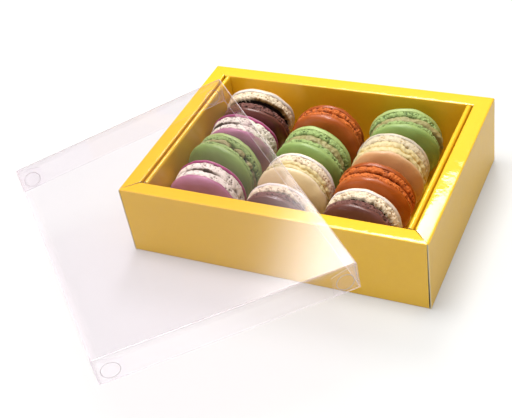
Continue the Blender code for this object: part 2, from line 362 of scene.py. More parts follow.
def baked_shell(name, dome, shade, foot, pit, lip, roughness, specks=0.0):
    """A baked almond meringue shell. Its skin dried before baking and is satin, gently uneven and
    nearly even in colour, with a fleck of almond here and there; the foot below the lip burst out
    while baking and is matt, paler and full of pits. Its pits, its groove and its slits are painted
    darker towards the pit colour as shade, and the flecks take that same colour. The flecks, really
    about 0.1 mm, are drawn as coarse as 0.5 mm to show."""
    material, tree, out = new_material(name)
    place = add(tree, "ShaderNodeTexCoord").outputs["Object"]
    marks = add(tree, "ShaderNodeSeparateXYZ", {
        0: add(tree, "ShaderNodeAttribute", attribute_name="marks").outputs["Vector"]})
    patches = add(tree, "ShaderNodeTexNoise", {"Vector": place, "Scale": 1 / (9 * MM), "Detail": 3.0})
    almond = add(tree, "ShaderNodeTexNoise", {"Vector": place, "Scale": 1 / (0.55 * MM), "Detail": 3.0})
    skin = add(tree, "ShaderNodeMix", {
        0: patches.outputs["Fac"], MIX_FROM: colour(dome), MIX_TO: colour(shade)}, data_type="RGBA")
    # Painted shade: the foot darkens towards the pit colour by the marks' second value
    foot_with_painted_shade = add(tree, "ShaderNodeMix", {
        0: marks.outputs["Y"], MIX_FROM: colour(foot), MIX_TO: colour(pit)}, data_type="RGBA")
    body = add(tree, "ShaderNodeMix", {
        0: marks.outputs["X"], MIX_FROM: skin.outputs[MIX_RESULT], MIX_TO: foot_with_painted_shade.outputs[MIX_RESULT]},
        data_type="RGBA")
    edged = add(tree, "ShaderNodeMix", {
        0: marks.outputs["Z"], MIX_FROM: body.outputs[MIX_RESULT], MIX_TO: colour(lip)}, data_type="RGBA")
    fleck = add(tree, "ShaderNodeMapRange", {
        0: almond.outputs["Fac"], 1: 0.66, 2: 0.74, 3: 0.0, 4: specks})
    flecked = add(tree, "ShaderNodeMix", {
        0: fleck.outputs[0], MIX_FROM: edged.outputs[MIX_RESULT], MIX_TO: colour(pit)}, data_type="RGBA")
    rough = add(tree, "ShaderNodeMapRange", {0: marks.outputs["X"], 1: 0.0, 2: 1.0, 3: roughness, 4: 0.75})
    crust = add(tree, "ShaderNodeTexNoise", {"Vector": place, "Scale": 1 / (2.2 * MM), "Detail": 2.0})
    uneven = add(tree, "ShaderNodeBump", {"Height": crust.outputs["Fac"], "Distance": 0.14 * MM})
    bump = add(tree, "ShaderNodeBump", {
        "Height": almond.outputs["Fac"], "Distance": 0.05 * MM, "Normal": uneven.outputs["Normal"]})
    shader = add(tree, "ShaderNodeBsdfPrincipled", {
        "Base Color": flecked.outputs[MIX_RESULT], "Roughness": rough.outputs[0],
        "Normal": bump.outputs["Normal"]})
    tree.links.new(shader.outputs[0], out.inputs["Surface"])
    return material


def soft_filling(name, tone, shade, roughness):
    """Buttercream or ganache piped between the shells: smooth, soft and faintly streaked, with painted
    shade darkening its grooves and painted nearly black where a bubble left a hole."""
    material, tree, out = new_material(name)
    place = add(tree, "ShaderNodeTexCoord").outputs["Object"]
    streak = add(tree, "ShaderNodeTexNoise", {"Vector": place, "Scale": 1 / (2.2 * MM), "Detail": 3.0})
    # Painted shade: the grooves darken towards the shade colour, and the holes turn nearly black
    groove = add(tree, "ShaderNodeAttribute", attribute_name="groove").outputs["Fac"]
    deep = add(tree, "ShaderNodeMath", {
        0: streak.outputs["Fac"], 1: 0.5, 2: groove}, operation="MULTIPLY_ADD")
    streaks_and_groove_shade = add(tree, "ShaderNodeMix", {
        0: deep.outputs[0], MIX_FROM: colour(tone), MIX_TO: colour(shade)}, data_type="RGBA")
    hole = add(tree, "ShaderNodeAttribute", attribute_name="hole").outputs["Fac"]
    with_hole_shade = add(tree, "ShaderNodeMix", {
        0: hole, MIX_FROM: streaks_and_groove_shade.outputs[MIX_RESULT], MIX_TO: colour("#1C150D")}, data_type="RGBA")
    bump = add(tree, "ShaderNodeBump", {"Height": streak.outputs["Fac"], "Distance": 0.12 * MM})
    shader = add(tree, "ShaderNodeBsdfPrincipled", {
        "Base Color": with_hole_shade.outputs[MIX_RESULT], "Roughness": roughness, "Normal": bump.outputs["Normal"]})
    tree.links.new(shader.outputs[0], out.inputs["Surface"])
    return material


def make_food_materials():
    """One material for each slot of the record that is food, and two darker copies of the cream shell
    that paint shade onto one macaron's shells. A shell has the colours of its dome and the dome's
    patches, its foot, the painted shade in the foot's pits, which its flecks share, and its lip, then
    its roughness and how much its flecks show."""
    return {
        "cream_shell": baked_shell(
            "baked_plain_almond_shell", "#E0C99F", "#D9BF8D", "#DCCAAE", "#8A6536", "#D7CEC8", 0.42, 0.35),
        # Darker copies of the cream shell: painted shade for the right second macaron's two shells
        "pale_shaded_cream_shell": baked_shell(
            "cream_shell_painted_pale_shade", "#D2BA90", "#C9AE80", "#CABC9E", "#A88A55", "#C2B8A6", 0.42, 0.2),
        "dark_shaded_cream_shell": baked_shell(
            "cream_shell_painted_dark_shade", "#CC9C6C", "#BF8650", "#CBB48E", "#94703F", "#D2C4A8", 0.42, 0.2),
        "cocoa_shell": baked_shell(
            "baked_cocoa_almond_shell", "#693D32", "#5A3027", "#6C4036", "#200D0A", "#7B4D43", 0.24, 0.3),
        "pink_shell": baked_shell(
            "baked_berry_almond_shell", "#BF889F", "#AA6A82", "#E4D9CA", "#66503F", "#9C3668", 0.42, 0.2),
        "green_shell": baked_shell(
            "baked_pistachio_almond_shell", "#869E57", "#78934B", "#91A663", "#2F451B", "#A2B46E", 0.42,
            0.25),
        "orange_shell": baked_shell(
            "baked_apricot_almond_shell", "#AE571B", "#9E4814", "#C2621A", "#602208", "#9E4A14", 0.31, 0.3),
        "cream_filling": soft_filling("vanilla_buttercream", "#D9CDBA", "#BBA888", 0.5),
        "vanilla_filling": soft_filling("custard_buttercream", "#D2C597", "#AE8E47", 0.5),
        "pistachio_filling": soft_filling("pistachio_buttercream", "#9E9661", "#7C7449", 0.55),
        "orange_filling": soft_filling("apricot_buttercream", "#944415", "#6B2A0A", 0.5),
        "chocolate_filling": soft_filling("chocolate_ganache", "#3A1F1A", "#241009", 0.6),
    }


def make_mesh(name, points, faces, marks=None, indices=None):
    """A mesh from an array of points and arrays of faces, one face a row, with an attribute
    per point and a material index per face if they are given."""
    corners = np.concatenate([group.ravel() for group in faces])
    sizes = np.concatenate([np.full(len(group), group.shape[1]) for group in faces])
    starts = np.cumsum(sizes) - sizes
    mesh = bpy.data.meshes.new(name)
    mesh.vertices.add(len(points))
    mesh.vertices.foreach_set("co", points.astype(np.float32).ravel())
    mesh.loops.add(len(corners))
    mesh.loops.foreach_set("vertex_index", corners.astype(np.int32))
    mesh.polygons.add(len(sizes))
    mesh.polygons.foreach_set("loop_start", starts.astype(np.int32))
    if indices is not None:
        mesh.polygons.foreach_set("material_index", indices.astype(np.int32))
    mesh.update(calc_edges=True)
    for title, values in (marks or {}).items():
        kind = "FLOAT" if values.ndim == 1 else "FLOAT_VECTOR"
        layer = mesh.attributes.new(title, kind, "POINT")
        kept = "value" if values.ndim == 1 else "vector"
        layer.data.foreach_set(kept, values.astype(np.float32).ravel())
    return mesh


def new_object(name, data):
    """A new object in the scene for a mesh, a lamp or a camera."""
    item = bpy.data.objects.new(name, data)
    bpy.context.scene.collection.objects.link(item)
    return item


def add_piece(mesh, materials, nodes, sharp=40):
    """An object for a finished mesh, smooth up to the sharp angle, that rides on the one body."""
    piece = new_object(mesh.name, mesh)
    for material in materials:
        mesh.materials.append(material)
    mesh.shade_smooth()
    mesh.set_sharp_from_angle(angle=radians(sharp))
    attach(piece, "root")
    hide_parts(*nodes)
    return piece


def grid_faces(rows, columns, wrap=False):
    """Four corners of each cell of a grid of points whose rows follow each other. With wrap, the
    last column joins the first."""
    row = np.arange(rows - 1)[:, None]
    column = np.arange(columns if wrap else columns - 1)[None, :]
    following = (column + 1) % columns
    cells = [row * columns + column, row * columns + following,
             (row + 1) * columns + following, (row + 1) * columns + column]
    return np.stack(np.broadcast_arrays(*cells), -1).reshape(-1, 4)


def waves(points, kind, seed, count=WAVES):
    """Smooth noise of a length and a height: the sum of plane waves in random directions whose
    lengths lie round the given one, worked out for all the points at once."""
    length, height = kind
    draw = np.random.default_rng(seed)
    direction = draw.normal(size=(count, 3))
    direction /= np.linalg.norm(direction, axis=1, keepdims=True)
    stretch = tau / length * draw.uniform(0.6, 1.5, count)
    phase = draw.uniform(0, tau, count)
    turns = points @ (direction * stretch[:, None]).T + phase
    return height * sqrt(2 / count) * np.sin(turns).sum(-1)


def folded_path(corners, radius, step):
    """Points along a line through the corners: each inner corner becomes an arc of the given radius
    that touches both runs, and each run is divided evenly into pieces of at most a step. The bend
    at each point is zero on a run and half a sine wave over an arc."""
    corners = np.array(corners, float)
    radii = np.broadcast_to(radius, len(corners) - 2)
    here = corners[0]
    path = [here[None]]
    bend = [np.zeros(1)]
    for place, size, before, after in zip(corners[1:-1], radii, corners, corners[2:]):
        come = (place - before) / np.linalg.norm(place - before)
        leave = (after - place) / np.linalg.norm(after - place)
        side = np.sign(come[0] * leave[1] - come[1] * leave[0])
        angle = np.arccos(np.clip(come @ leave, -1, 1))
        start = place - come * size * np.tan(angle / 2)
        count = max(1, int(np.ceil(np.linalg.norm(start - here) / step)))
        run = here + (start - here) * (np.arange(1, count + 1) / count)[:, None]
        centre = start + side * size * np.array([-come[1], come[0]])
        turn = side * angle * np.arange(1, FOLD_STEPS + 1) / FOLD_STEPS
        arm = start - centre
        arc = centre + np.stack([
            arm[0] * np.cos(turn) - arm[1] * np.sin(turn),
            arm[0] * np.sin(turn) + arm[1] * np.cos(turn)], -1)
        path += [run, arc]
        bend += [np.zeros(count), np.sin(pi * np.arange(1, FOLD_STEPS + 1) / (FOLD_STEPS + 1))]
        here = arc[-1]
    count = max(1, int(np.ceil(np.linalg.norm(corners[-1] - here) / step)))
    path.append(here + (corners[-1] - here) * (np.arange(1, count + 1) / count)[:, None])
    bend.append(np.zeros(count))
    return np.concatenate(path), np.concatenate(bend)


def carry(path, bend, low, high, thickness, steps):
    """A sheet whose face follows a path in a plane and is carried straight across it, from low to
    high at each point of the path. Its other face is the same path moved by the thickness to the
    path's left. Returns the points, as across, along, up the plane, its four-cornered faces, which
    of them are cut edges (1 at the sheet's sides, 2 at its ends), and the bend at each point."""
    along = np.gradient(path, axis=0)
    along /= np.linalg.norm(along, axis=1, keepdims=True)
    left = np.stack([-along[:, 1], along[:, 0]], -1)
    share = np.linspace(0, 1, steps + 1)[None, :]
    across = low[:, None] * (1 - share) + high[:, None] * share
    sheets = []
    for flat in (path, path + left * thickness):
        spread = np.broadcast_to(flat[:, None, :], (*across.shape, 2))
        sheets.append(np.concatenate([across[..., None], spread], -1).reshape(-1, 3))
    columns = steps + 1
    face = grid_faces(len(path), columns)
    count = len(path) * columns
    row = np.arange(len(path) - 1) * columns
    column = np.arange(steps)
    last = (len(path) - 1) * columns
    near = np.stack([row, row + columns, row + columns + count, row + count], -1)
    far = (near + steps)[:, ::-1]
    start = np.stack([column + 1, column, column + count, column + 1 + count], -1)
    end = (start + last)[:, ::-1]
    faces = np.concatenate([face, face[:, ::-1] + count, near, far, start, end])
    plain = len(face)
    cut = np.concatenate([np.zeros(plain), np.ones(plain), np.full(len(faces) - 2 * plain, 2)])
    return np.concatenate(sheets), faces, cut, np.tile(np.repeat(bend, columns), 2)


def outward(points, faces):
    """The faces, all turned round if they enclose a negative volume, so that they point out."""
    a, b, c, d = (points[faces[:, i]] for i in range(4))
    volume = (np.cross(a, b) * c).sum() + (np.cross(a, c) * d).sum()
    return faces if volume > 0 else faces[:, ::-1]


def joined(parts):
    """Several sheets, each as points, faces, cut and bend, as one set of arrays."""
    counts = np.cumsum([0] + [len(part[0]) for part in parts[:-1]])
    points = np.concatenate([part[0] for part in parts])
    faces = np.concatenate([outward(part[0], part[1]) + count for part, count in zip(parts, counts)])
    cut = np.concatenate([part[2] for part in parts])
    bend = np.concatenate([part[3] for part in parts])
    return points, faces, cut, bend


def make_tray(foil, board):
    """The tray: a strip that runs from the front inner wall over the front rim, down the front,
    under the floor and up the back the same way, and one strip over each end, mitred at the rims.
    The outer walls bow out as one less the square of the place along them, times a sine of the
    height."""
    half_x, half_y = TRAY_HALF
    top = TRAY_HEIGHT
    well_x, well_y = half_x - RIM_WIDTH, half_y - RIM_WIDTH
    parts = []

    outline = [
        (-well_y, LINER_FLOOR), (-well_y, top - FRONT_RIM_DROP), (-half_y, top), (-half_y, 0),
        (half_y, 0), (half_y, top), (well_y, top - BACK_RIM_DROP), (well_y, LINER_FLOOR)]
    path, bend = folded_path(outline, FOLD, PANEL_STEP)
    depth, height = half_y - np.abs(path[:, 0]), path[:, 1]
    front = path[:, 0] < 0
    reach = {}
    for side in (-1, 1):
        mitre, foot, short = (
            np.where(front, before, behind) * MM
            for before, behind in zip(CORNERS[side, -1], CORNERS[side, 1]))
        slit = SLIT_TOP + (foot - SLIT_TOP) * (1 - height / top)
        wall = half_x - CARD - slit
        rim = np.minimum(half_x - depth - mitre / sqrt(2), wall)
        inner = well_x - short
        floor = half_x - FOLD
        reach[side] = np.select(
            [depth > RIM_WIDTH - FOLD / 2, height > top - FOLD, height < FOLD],
            [np.where(height < FOLD / 2, floor, inner), rim, floor], wall)
        reach[side] = np.where((depth > FOLD) & (height < FOLD / 2), floor, reach[side])
    points, *rest = carry(path, bend, -reach[-1], reach[1], CARD, LONG_STEPS)
    rise = np.clip(points[:, 2] / top, 0, 1)
    bow = WALL_BOW * (1 - (points[:, 0] / half_x) ** 2) * np.sin(pi * rise)
    points[:, 1] -= np.sign(points[:, 1]) * bow * (np.abs(points[:, 1]) > half_y - 2 * CARD)
    parts.append((points, *rest))

    for side in (-1, 1):
        edge = top - SIDE_RIM_DROP[side]
        outline = [
            (half_x - FOLD - MM, 0), (half_x, 0), (half_x, edge), (well_x, top),
            (well_x, top - RIM_LEG)]
        path, bend = folded_path(outline, FOLD, RIM_STEP)
        path, bend = path[1:], bend[1:]
        depth, height = half_x - path[:, 0], path[:, 1]
        on_rim = (height > edge - FOLD / 2) & (depth > 0) & (depth < RIM_WIDTH)
        path[:, 1] += on_rim * SIDE_RIM_CROWN * (1 - (2 * depth / RIM_WIDTH - 1) ** 2 - CROWN_BELOW)
        ends = []
        for end in (-1, 1):
            rim = half_y - depth - CORNERS[side, end][0] * MM / sqrt(2)
            leg = well_y - CARD
            ends.append(np.select([depth > RIM_WIDTH - FOLD / 2, height > edge - FOLD], [leg, rim], half_y))
        points, *rest = carry(path, bend, -ends[0], ends[1], CARD, END_STEPS)
        rise = np.clip(points[:, 2] / top, 0, 1)
        bow = WALL_BOW * (1 - (points[:, 0] / half_y) ** 2) * np.sin(pi * rise)
        points[:, 1] -= bow * (points[:, 1] > half_x - 2 * CARD)
        outer = np.clip(1 - (half_x - points[:, 1]) / RIM_WIDTH, 0, 1)
        to_front = np.clip(0.5 - points[:, 0] / (2 * half_y), 0, 1)
        points[:, 2] -= FRONT_END_DROP[side] * to_front * outer * rise ** 4
        points = np.stack([side * points[:, 1], points[:, 0], points[:, 2]], -1)
        parts.append((points, *rest))

    points, faces, cut, bend = joined(parts)
    mesh = make_mesh("gold_tray", points, [faces], {"crease": bend}, (cut > 0).astype(int))
    return add_piece(mesh, [foil, board], ["tray"])


def make_liner(foil, board):
    """The liner: one strip carried along Y, with both ends bent up, rolled over and down outside."""
    outer = TRAY_HALF[0] - RIM_WIDTH - LINER_GAP
    inner = outer - LINER_FOLD_WIDTH
    top = TRAY_HEIGHT - LINER_TOP_DROP
    leg = top - LINER_OUTER_LEG
    outline = [
        (outer, leg), (outer, top), (inner, top), (inner, LINER_FLOOR),
        (-inner, LINER_FLOOR), (-inner, top), (-outer, top), (-outer, leg)]
    roll = LINER_ROLL * LINER_FOLD_WIDTH
    path, bend = folded_path(outline, [roll, roll, MM, MM, roll, roll], PANEL_STEP)
    end = np.full(len(path), TRAY_HALF[1] - RIM_WIDTH - LINER_END_GAP)
    points, faces, cut, bend = carry(path, bend, -end, end, LINER_CARD, LINER_STEPS)
    points = points[:, [1, 0, 2]]
    faces = outward(points, faces)
    mesh = make_mesh("gold_liner", points, [faces], None, (cut > 0).astype(int))
    return add_piece(mesh, [foil, board], ["liner"])


def make_lid(sheet, edge):
    """The lid: a panel with two long flaps, carried along X, a flap folded down at each end, and at
    each corner a tab that turns the corner inside the end flap and holds it by a dot of glue. All
    of it then takes the panel's twist, z less the twist times x and y over half the size."""
    half_x, half_y = LID_LENGTH / 2, LID_DEPTH / 2
    top = LID_SHEET / 2
    low = -LID_FLAP
    parts = []

    outline = [(-half_y, low), (-half_y, top), (half_y, top), (half_y, low)]
    path, bend = folded_path(outline, LID_FOLD, PANEL_STEP)
    flap = path[:, 1] < top - LID_FOLD / 2
    reach = np.where(flap, half_x - LID_SHEET, half_x - LID_FOLD)
    # The fold over the tray is whitened more than the others: painted highlight on the stress white
    bend = np.where(path[:, 0] > 0, TRAY_FOLD_WHITE_AND_HIGHLIGHT * bend ** 3, bend)
    parts.append(carry(path, bend, -reach, reach, -LID_SHEET, LONG_STEPS))

    for side in (-1, 1):
        outline = [(half_x - 2 * LID_FOLD, top), (half_x, top), (half_x, low)]
        path, bend = folded_path(outline, LID_FOLD, PANEL_STEP)
        path, bend = path[1:], bend[1:]
        flap = path[:, 1] < top - LID_FOLD / 2
        reach = np.where(flap, half_y - LID_SHEET / 2, half_y - LID_FOLD)
        points, *rest = carry(path, bend, -reach, reach, -LID_SHEET, END_STEPS)
        points = np.stack([side * points[:, 1], points[:, 0], points[:, 2]], -1)
        parts.append((points, *rest))

        for end in (-1, 1):
            inner_x = half_x - LID_SHEET - TAB_GAP
            inner_y = half_y - LID_SHEET
            outline = [
                (inner_x - TAB_OVERLAP, inner_y), (inner_x, inner_y), (inner_x, inner_y - TAB_LENGTH)]
            path, bend = folded_path(outline, LID_FOLD, PANEL_STEP / 2)
            taper = np.clip((inner_y - path[:, 1]) / TAB_LENGTH, 0, 1) * TAB_TAPER
            bottom = np.full(len(path), low)
            points, *rest = carry(path, bend, bottom, -LID_SHEET - taper, -LID_SHEET, TAB_STEPS)
            points = np.stack([side * points[:, 1], end * points[:, 2], points[:, 0]], -1)
            parts.append((points, *rest))
            parts.append(glue_ring(
                side * (inner_x - LID_SHEET), end * (inner_y - TAB_LENGTH / 2), (low - TAB_TAPER) / 2))

    points, faces, cut, bend = joined(parts)
    coated = (points[:, 2] > -LID_SHEET).astype(float)
    points[:, 2] -= LID_TWIST * points[:, 0] * points[:, 1] / (half_x * half_y)
    place = Matrix.Translation(LID_CENTRE)
    for axis, angle in zip("ZYX", reversed(LID_TURN)):
        place = place @ Matrix.Rotation(radians(angle), 4, axis)
    place = np.array(place)
    points = points @ place[:3, :3].T + place[:3, 3]
    marks = {"crease": bend, "coated": coated}
    mesh = make_mesh("film_lid", points, [faces], marks, (cut > 1).astype(int))
    return add_piece(mesh, [sheet, edge], ["lid"])


def glue_ring(x, y, z):
    """The pressed rim of a dot of clear glue: a thin ring of oval section round X, whose last ring
    of faces joins the first."""
    around = np.linspace(0, tau, GLUE_AROUND, endpoint=False)[:, None]
    section = np.linspace(0, tau, GLUE_SECTION, endpoint=False)[None, :]
    broad, thick = GLUE_RIM
    radius = GLUE_DOT / 2 + broad * np.cos(section)
    points = np.stack(np.broadcast_arrays(
        x + thick * np.sin(section), y + radius * np.cos(around), z + radius * np.sin(around)), -1)
    points = points.reshape(-1, 3)
    faces = grid_faces(GLUE_AROUND, GLUE_SECTION, wrap=True)
    closing = grid_faces(2, GLUE_SECTION, wrap=True)
    last = (GLUE_AROUND - 1) * GLUE_SECTION
    closing = np.where(closing < GLUE_SECTION, closing + last, closing - GLUE_SECTION)
    faces = np.concatenate([faces, closing])
    return points, faces, np.zeros(len(faces)), np.full(len(points), GLUE_CREASE)


def node_points(node):
    """The different points of a CAD node's mesh."""
    mesh = frame["nodes"][node].data
    points = np.zeros(len(mesh.vertices) * 3)
    mesh.vertices.foreach_get("co", points)
    return np.unique(points.reshape(-1, 3).round(6), axis=0)


def macaron_place(name):
    """Where a macaron stands, read from its filling's solid: the middle, and as columns the way to
    its right, its top and its front. Its axis is the way the solid is thinnest."""
    points = node_points(name + "_filling")
    middle = (points.min(0) + points.max(0)) / 2
    axis = np.linalg.eigh(np.cov((points - points.mean(0)).T))[1][:, 0]
    axis *= -np.sign(axis[1])
    right = np.cross((0, 0, 1), axis)
    right /= np.linalg.norm(right)
    return middle, np.stack([right, np.cross(axis, right), axis], -1)


def nearness(points, seeds, size):
    """How close each point is to its nearest seed: one at the seed and zero at its size or beyond."""
    square = (points ** 2).sum(1)[:, None] + (seeds ** 2).sum(1)[None] - 2 * points @ seeds.T
    return np.clip(1 - np.sqrt((np.clip(square, 0, None) / size ** 2).min(1)), 0, 1)


def turned_from(angle, where):
    """Angles measured from a place in degrees, between minus and plus half a turn."""
    return np.angle(np.exp(1j * (angle - radians(where))))


def round_axis(angle, radius, height):
    """Points at the given angles round the axis, radii and heights along it."""
    return np.stack(np.broadcast_arrays(radius * np.cos(angle), radius * np.sin(angle), height), -1)


def scattered(draw, spacing, radius, low, high):
    """Random places on a band round the axis, about one to each square of the spacing."""
    count = int(tau * radius * (high - low) / spacing ** 2)
    angle = draw.uniform(0, tau, count)
    return round_axis(angle, radius, draw.uniform(low, high, count))


def closed_turn(grid, tops):
    """The points and faces of a grid of rings round the axis, from the front ring to the back one,
    closed at each end by a fan to a point."""
    rows, around = grid.shape[:2]
    count = rows * around
    ring = np.arange(around)
    follow = (ring + 1) % around
    last = count - around
    front = np.stack([np.full(around, count), ring, follow], -1)
    back = np.stack([np.full(around, count + 1), last + follow, last + ring], -1)
    points = np.concatenate([grid.reshape(-1, 3), tops])
    return points, [grid_faces(rows, around, wrap=True)[:, ::-1], front, back]


def make_shell(name, node, place, end, material, seed, deep, crags, skirt, slit):
    """A shell as a grid of rings round its axis. The dome's height falls as the root of one less the
    radius to a power, and the skin comes round the lip as a quarter of an ellipse as high as its
    skirt. Below a groove the foot swells out again and reaches down over the filling by the given
    depth, or is buried in the filling if that is less than nothing. Burst bubbles, one less the
    square of the distance to the nearest of scattered seeds, and pits at other seeds make it craggy.
    A slit, as its angle, its spread in degrees and mm, lifts the foot's edge by a bell of the angle
    and is painted dark inside as shade. The pits and the groove's unfilled part are painted darker
    as shade as well."""
    middle, turn = place
    points = (node_points(node) - middle) @ turn
    radius = np.hypot(points[:, 0], points[:, 1]).max()
    base = np.abs(points[:, 2]).min()
    draw = np.random.default_rng(seed)

    part = np.sin(np.arange(1, DOME_ROWS + 1) / DOME_ROWS * pi / 2)
    dome_z = LIP_HEIGHT + DOME * np.sqrt(np.clip(1 - part ** DOME_POWER, 0, 1))
    bead = np.radians(LIP_RINGS)
    bead_r = radius - LIP_BEAD * (1 - np.cos(bead))
    share = np.linspace(0, 1, FOOT_ROWS)
    foot_top = LIP_HEIGHT - skirt
    groove = np.exp(-(share / GROOVE_SHARE) ** 2)
    buried = FOOT_BURIED if deep < 0 else 0
    deep = max(deep, 0)
    foot_r = radius - FOOT_INSET - GROOVE_DEPTH * groove - FOOT_TAPER * share ** 5 - buried
    foot_z = foot_top - (foot_top + deep) * share
    face = np.ones(len(FACE_RINGS))
    rows_r = np.concatenate([radius * part, bead_r, foot_r, radius * np.array(FACE_RINGS)])
    rows_z = np.concatenate([dome_z, LIP_HEIGHT + skirt * np.sin(bead), foot_z, -deep * face])
    band = slice(DOME_ROWS + len(bead), None)
    down = np.concatenate([share, face])[:, None]
    in_groove = np.concatenate([groove, 0 * face])[:, None]
    strong = np.concatenate([np.clip(CRAGS_START + share / CRAGS_SHARE, 0, 1), FACE_CRAGS])[:, None]
    skin = np.concatenate([part, np.ones(len(bead)), np.zeros(len(down))])
    is_foot = np.concatenate([np.zeros(DOME_ROWS), LIP_TO_FOOT, np.ones(len(down))])
    above = np.clip(rows_z - LIP_HEIGHT, 0, None)
    lip = LIP_COLOUR[end] * np.exp(-(above / LIP_FADE) ** 2) * (skin > 0.9)

    angle = np.linspace(0, tau, AROUND, endpoint=False)
    rim = round_axis(angle, radius, 0)
    grid = round_axis(angle, rows_r[:, None], rows_z[:, None])
    swell = waves(grid.reshape(-1, 3), DOME_SWELL, seed + 3).reshape(-1, AROUND)
    wander = waves(rim, LIP_LINE, seed + 2)
    full = np.clip(GROOVE_MEAN - waves(rim, GROOVE_FULL, seed + 8), 0, 1)
    ragged = waves(rim, RAGGED_EDGE[0], seed + 4) + waves(rim, RAGGED_EDGE[1], seed + 5)

    foot = grid[band].reshape(-1, 3)
    bubbles = [
        scattered(draw, spacing, radius - inset, -deep, foot_top) for spacing, inset, *_ in BUBBLES]
    pits = scattered(draw, PIT_SPACING, radius - PIT_INSET, -deep, foot_top - PIT_CLEAR)
    relief = waves(foot, FOOT_SWELL, seed + 6) + waves(foot, FOOT_CRUMB, seed + 7, CRUMB_WAVES)
    for seeds, (*_, size, height, level) in zip(bubbles, BUBBLES):
        near = nearness(foot, seeds, size * draw.uniform(*BUBBLE_SIZES, len(seeds)))
        relief += height * (1 - (1 - near) ** 2 - level)
    sizes = draw.uniform(*PIT_SIZES, len(pits))
    relief -= PIT_DEPTH * nearness(foot * PIT_FLATTER, pits * PIT_FLATTER, sizes) ** PIT_POWER
    relief = relief.reshape(-1, AROUND)

    where, spread, much = slit
    away = turned_from(angle, where if end == "front" else -where)
    bell = np.exp(-(away / radians(spread)) ** 2)
    slit_inside = np.clip((down - SLIT_START) / SLIT_SHARE, 0, 1) * (much > 0)
    # Painted shade: the foot darkens in its deep pits, in the groove's unfilled part and inside a slit
    painted_shade = np.zeros((len(rows_r), AROUND))
    painted_shade[band] = np.maximum.reduce([
        strong * np.clip(-0.1 - relief / PIT_SHADE_DEPTH, 0, 1), GROOVE_PAINTED_SHADE * in_groove * (1 - full),
        slit_inside * np.clip(SLIT_PAINTED_SHADE * bell, 0, 1)])

    r = rows_r[:, None] + waves(rim, LOBES, seed + 1) * (rows_r / radius)[:, None]
    r[band] += crags * strong * relief + GROOVE_FILLED * in_groove * full
    near_lip = np.exp(-((rows_z - LIP_HEIGHT) / LIP_LINE_FADE) ** 2) * (skin > 0.5)
    z = rows_z[:, None] + skin[:, None] * swell + near_lip[:, None] * wander
    z[band] += (ragged + much * MM * bell) * down ** 3

    # Marks for the material: share of foot, painted shade, and the lip's own colour
    marks = np.stack(np.broadcast_arrays(is_foot[:, None], painted_shade, lip[:, None]), -1)
    marks = np.concatenate([marks.reshape(-1, 3), [[0, 0, 0], [1, 0, 0]]])
    crown = (z[0] + base).mean() + LIP_HEIGHT + DOME - rows_z[0]
    points, faces = closed_turn(round_axis(angle, r, z + base), [[0, 0, crown], [0, 0, base - deep]])
    if end == "back":
        points = points * (1, -1, -1)
    mesh = make_mesh(name, points @ turn.T + middle, faces, {"marks": marks})
    return add_piece(mesh, [material], [node], 75)


def make_filling(name, node, place, slot, material, seed, deep, reach, ridges, spots):
    """A filling as a grid of rings between the two feet. Its side bulges as a root of the sine of
    the height, once for each ridge piped, with slow waves round it, and each spot pushes it out or
    in by a bell of the distance along the side. The grooves beside the ridges and the spots that
    are holes are marked for the material, which paints shade there."""
    middle, turn = place
    points = (node_points(node) - middle) @ turn
    radius = np.hypot(points[:, 0], points[:, 1]).max()
    half = np.abs(points[:, 2]).max() + FILLING_LAP
    low, high = -half + deep[0], half - deep[1]
    share = np.linspace(0, 1, FILLING_ROWS)[:, None]
    angle = np.linspace(0, tau, FILLING_AROUND, endpoint=False)
    ends = np.clip(np.sin(pi * share) * 4, 0, 1)
    rim = round_axis(angle, radius, 0)
    wander = waves(rim, RIDGE_WANDER[0], seed + 4) + waves(rim, RIDGE_WANDER[1], seed + 5)
    swell = np.abs(np.sin(pi * ridges * (share + wander * ends))) ** RIDGE_POWER[ridges]
    depth = RIDGE_DEPTH[ridges]
    r = radius - FILLING_INSET + ends * (FILLING_INSET - depth) + depth * swell
    z = high + (low - high) * share
    side = round_axis(angle, r, z).reshape(-1, 3)
    push = reach * MM + waves(side * (1, 1, 0.6), FILLING_BULGE, seed)
    push += waves(side, FILLING_DENTS, seed + 1) + waves(side, FILLING_CRUMB, seed + 2)
    push = push.reshape(r.shape) * ends
    hole = np.zeros(r.shape)
    for where, level, much, size in spots:
        along = turned_from(angle, where) * radius / (size * MM)
        across = (share - level) * (high - low) / (size * MM)
        bell = np.exp(-along ** 2 - across ** 2)
        push += much * MM * bell
        hole = np.maximum(hole, np.clip(2 * bell - 0.5, 0, 1) * (much < HOLE_PUSH))
    z = z + waves(side, FILLING_RINGS, seed + 3).reshape(r.shape)
    points, faces = closed_turn(round_axis(angle, r + push, z), [[0, 0, high], [0, 0, low]])
    # Where the material paints shade: the grooves, and the holes above
    groove = np.concatenate([((1 - swell) ** 1.5).ravel(), [1, 1]])
    hole = np.concatenate([hole.ravel(), [0, 0]])
    mesh = make_mesh(name, points @ turn.T + middle, faces, {"groove": groove, "hole": hole})
    return add_piece(mesh, [material], [node], 75)


